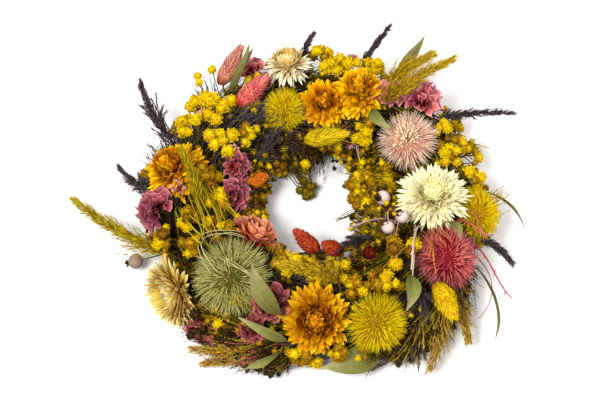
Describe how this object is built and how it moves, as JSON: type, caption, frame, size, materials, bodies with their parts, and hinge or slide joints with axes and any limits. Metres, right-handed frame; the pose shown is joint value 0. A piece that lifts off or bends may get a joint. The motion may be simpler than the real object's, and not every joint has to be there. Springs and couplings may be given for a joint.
{
  "type": "dried flower wreath",
  "caption": "Flat-backed straw ring covered with dried flower heads, seed spikes, grasses and leaves on stems, with a swinging wire ring to hang it on a door.",
  "frame": {"origin": "centre of the straw ring, on the plane of its flat back", "axes": "+Z out of the face, +Y towards the hanging ring (up when it hangs), +X to the right seen from the front"},
  "size_m": [0.35, 0.2916, 0.0957],
  "materials": {
    "straw": "dry straw, matte",
    "bound_stems": "dry stems and filler, matte",
    "binding_wire": "dull florist's wire",
    "hanger_wire": "galvanised wire",
    "cream_bracts": "papery, satin",
    "gold_bracts": "papery, satin",
    "tan_bracts": "papery, satin",
    "coral_bracts": "papery, satin",
    "green_filaments": "fine dry filaments",
    "yellow_filaments": "fine dry filaments",
    "salmon_filaments": "fine dry filaments",
    "crimson_filaments": "fine dry filaments",
    "yellow_spikes": "dry overlapping scales",
    "pink_spikes": "dry overlapping scales",
    "coral_spikes": "dry overlapping scales",
    "mauve_paper": "papery, matte",
    "yellow_buttons": "dry florets, matte",
    "straw_grass": "dry grass",
    "dark_grass": "dry grass",
    "green_leaves": "dry leaf, matte",
    "pale_berries": "smooth dry skin",
    "grey_berries": "smooth dry skin",
    "pale_twigs": "bare twig",
    "pink_tendrils": "bare tendril"
  },
  "bodies": {
    "wreath": {"berries_pale": "pale_berries", "berry_grey_left": "grey_berries", "binding_wires": "binding_wire", "canary_spike_coral_hole": "coral_spikes", "canary_spike_coral_top": "coral_spikes", "canary_spike_pink_top": "pink_spikes", "canary_spike_red_bud": "coral_spikes", "canary_spike_yellow_right": "yellow_spikes", "canary_spike_yellow_top": "yellow_spikes", "canary_spikes_red_hole": "coral_spikes", "dark_grass_bottom_right": "dark_grass", "dark_grass_hole": "dark_grass", "dark_grass_inner": "dark_grass", "dark_grass_left": "dark_grass", "dark_grass_right": "dark_grass", "dark_grass_top": "dark_grass", "grass_plume_inner": "straw_grass", "grass_plume_left": "straw_grass", "grass_plume_left_inner": "straw_grass", "grass_plumes_bottom_left": "straw_grass", "grass_plumes_bottom_right": "straw_grass", "grass_plumes_top_right": "straw_grass", "hanger_staples": "hanger_wire", "leaf_bottom": "green_leaves", "leaf_lower_right": "green_leaves", "leaves_lower_left": "green_leaves", "leaves_right": "green_leaves", "leaves_top_right": "green_leaves", "leaves_upper_left": "green_leaves", "paper_flowers_bottom_left": "mauve_paper", "paper_flowers_inner_left": "mauve_paper", "paper_flowers_left": "mauve_paper", "paper_flowers_top_left": "mauve_paper", "paper_flowers_top_right": "mauve_paper", "pincushion_crimson_right": "crimson_filaments", "pincushion_green_left": "green_filaments", "pincushion_salmon_top": "salmon_filaments", "pincushion_yellow_bottom": "yellow_filaments", "pincushion_yellow_right": "yellow_filaments", "pincushion_yellow_top": "yellow_filaments", "stem_bed": "bound_stems", "straw_base_ring": "straw", "strawflower_coral_left": "coral_bracts", "strawflower_cream_right": "cream_bracts", "strawflower_cream_top": "cream_bracts", "strawflower_gold_bottom": "gold_bracts", "strawflower_gold_left": "gold_bracts", "strawflower_gold_top_left": "gold_bracts", "strawflower_gold_top_right": "gold_bracts", "strawflower_tan_left": "tan_bracts", "tendrils_pink": "pink_tendrils", "twigs_pale": "pale_twigs", "yellow_buttons_bottom": "yellow_buttons", "yellow_buttons_hole": "yellow_buttons", "yellow_buttons_left": "yellow_buttons", "yellow_buttons_outer": "yellow_buttons", "yellow_buttons_right": "yellow_buttons", "yellow_buttons_top": "yellow_buttons", "yellow_buttons_top_left": "yellow_buttons"},
    "hanger": {"hanging_ring": "hanger_wire"}
  },
  "joints": [
    {"name": "hanger_swing", "type": "hinge", "parent": "wreath", "child": "hanger", "pos_m": [0, 0.1151, 0.0032], "axis": [1, 0, 0], "range_deg": [-130, 15]}
  ]
}
